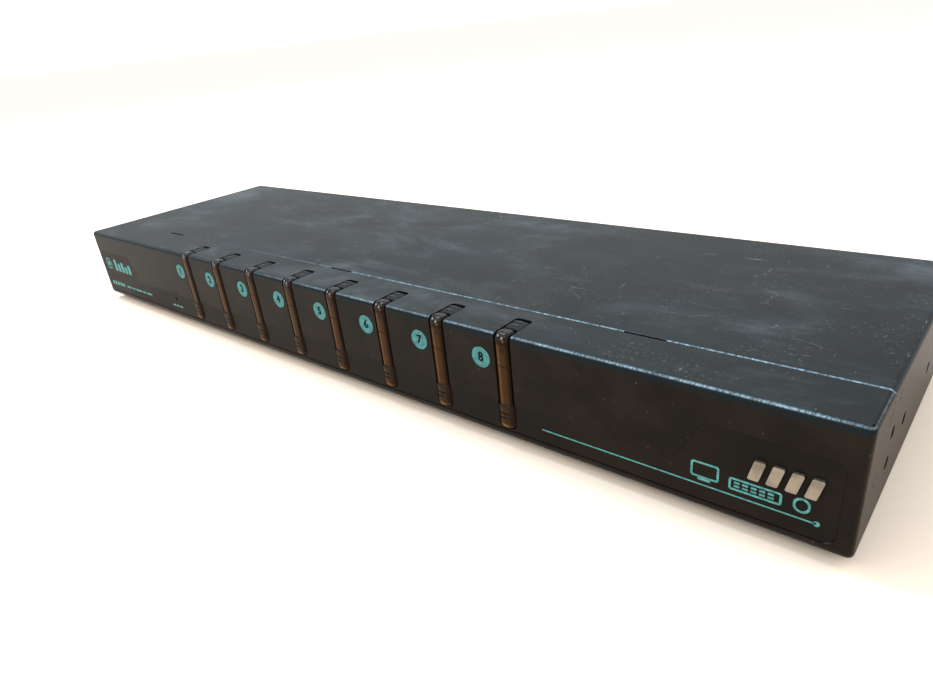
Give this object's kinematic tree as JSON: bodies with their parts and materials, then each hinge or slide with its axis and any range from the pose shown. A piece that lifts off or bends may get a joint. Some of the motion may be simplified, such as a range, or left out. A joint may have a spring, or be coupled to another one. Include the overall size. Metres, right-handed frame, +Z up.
{
  "type": "kvm switch",
  "caption": "Rack-width desktop switch that shares one keyboard, screen and mouse between several computers, with L-shaped amber keys over its front edge.",
  "frame": {"origin": "on the floor, under the middle of the whole assembly's bounding box", "axes": "+X to the right seen from the front, +Y from the front face to the rear ports, +Z up"},
  "size_m": [0.44, 0.1316, 0.0456],
  "materials": {
    "black_steel": "fine-textured black powder coat on sheet steel",
    "black_film": "printed black polycarbonate film",
    "smoke_amber": "smoke-amber translucent moulded plastic",
    "board_green": "solder-masked glass-fibre board",
    "black_plastic": "moulded black plastic",
    "nickel": "nickel-plated steel",
    "led_clear": "clear moulded epoxy",
    "rubber": "matt moulded rubber"
  },
  "bodies": {
    "case": {"chassis": "black_steel", "rear_panel": "black_steel", "top_cover": "black_steel", "front_overlay": "black_film", "key_carrier": "smoke_amber", "main_board": "board_green", "key_board": "board_green", "board_link": "black_plastic", "controller_chip": "black_plastic", "key_switch_1": "black_plastic", "key_switch_2": "black_plastic", "key_switch_3": "black_plastic", "key_switch_4": "black_plastic", "key_switch_5": "black_plastic", "key_switch_6": "black_plastic", "key_switch_7": "black_plastic", "key_switch_8": "black_plastic", "key_led_1": "led_clear", "key_led_2": "led_clear", "key_led_3": "led_clear", "key_led_4": "led_clear", "key_led_5": "led_clear", "key_led_6": "led_clear", "key_led_7": "led_clear", "key_led_8": "led_clear", "reset_switch": "black_plastic", "vga_port_console": "nickel", "vga_port_1": "nickel", "vga_port_2": "nickel", "vga_port_3": "nickel", "vga_port_4": "nickel", "vga_port_5": "nickel", "vga_port_6": "nickel", "vga_port_7": "nickel", "vga_port_8": "nickel", "ps2_port_console": "black_plastic", "ps2_port_1": "black_plastic", "ps2_port_2": "black_plastic", "ps2_port_3": "black_plastic", "ps2_port_4": "black_plastic", "ps2_port_5": "black_plastic", "ps2_port_6": "black_plastic", "ps2_port_7": "black_plastic", "ps2_port_8": "black_plastic", "dc_jack": "black_plastic", "cover_screw_left": "nickel", "cover_screw_right": "nickel", "foot_front_left": "rubber", "foot_front_right": "rubber", "foot_rear_left": "rubber", "foot_rear_right": "rubber"},
    "key_1": {"key_1": "smoke_amber"},
    "key_2": {"key_2": "smoke_amber"},
    "key_3": {"key_3": "smoke_amber"},
    "key_4": {"key_4": "smoke_amber"},
    "key_5": {"key_5": "smoke_amber"},
    "key_6": {"key_6": "smoke_amber"},
    "key_7": {"key_7": "smoke_amber"},
    "key_8": {"key_8": "smoke_amber"},
    "reset_plunger": {"reset_plunger": "nickel"}
  },
  "joints": [
    {"name": "key_1_press", "type": "hinge", "parent": "case", "child": "key_1", "pos_m": [-0.1037, -0.0603, 0.0437], "axis": [1, 0, 0], "range_deg": [0, 1.9], "stiffness_Nm_per_rad": 0.5, "springref_deg": -3.44},
    {"name": "key_2_press", "type": "hinge", "parent": "case", "child": "key_2", "pos_m": [-0.0734, -0.0603, 0.0437], "axis": [1, 0, 0], "range_deg": [0, 1.9], "stiffness_Nm_per_rad": 0.5, "springref_deg": -3.44},
    {"name": "key_3_press", "type": "hinge", "parent": "case", "child": "key_3", "pos_m": [-0.0431, -0.0603, 0.0437], "axis": [1, 0, 0], "range_deg": [0, 1.9], "stiffness_Nm_per_rad": 0.5, "springref_deg": -3.44},
    {"name": "key_4_press", "type": "hinge", "parent": "case", "child": "key_4", "pos_m": [-0.0128, -0.0603, 0.0437], "axis": [1, 0, 0], "range_deg": [0, 1.9], "stiffness_Nm_per_rad": 0.5, "springref_deg": -3.44},
    {"name": "key_5_press", "type": "hinge", "parent": "case", "child": "key_5", "pos_m": [0.0175, -0.0603, 0.0437], "axis": [1, 0, 0], "range_deg": [0, 1.9], "stiffness_Nm_per_rad": 0.5, "springref_deg": -3.44},
    {"name": "key_6_press", "type": "hinge", "parent": "case", "child": "key_6", "pos_m": [0.0478, -0.0603, 0.0437], "axis": [1, 0, 0], "range_deg": [0, 1.9], "stiffness_Nm_per_rad": 0.5, "springref_deg": -3.44},
    {"name": "key_7_press", "type": "hinge", "parent": "case", "child": "key_7", "pos_m": [0.0781, -0.0603, 0.0437], "axis": [1, 0, 0], "range_deg": [0, 1.9], "stiffness_Nm_per_rad": 0.5, "springref_deg": -3.44},
    {"name": "key_8_press", "type": "hinge", "parent": "case", "child": "key_8", "pos_m": [0.1084, -0.0603, 0.0437], "axis": [1, 0, 0], "range_deg": [0, 1.9], "stiffness_Nm_per_rad": 0.5, "springref_deg": -3.44},
    {"name": "reset_press", "type": "slide", "parent": "case", "child": "reset_plunger", "axis": [0, 1, 0], "range_m": [0, 0.0005], "stiffness_N_per_m": 400, "springref_m": -0.002}
  ]
}
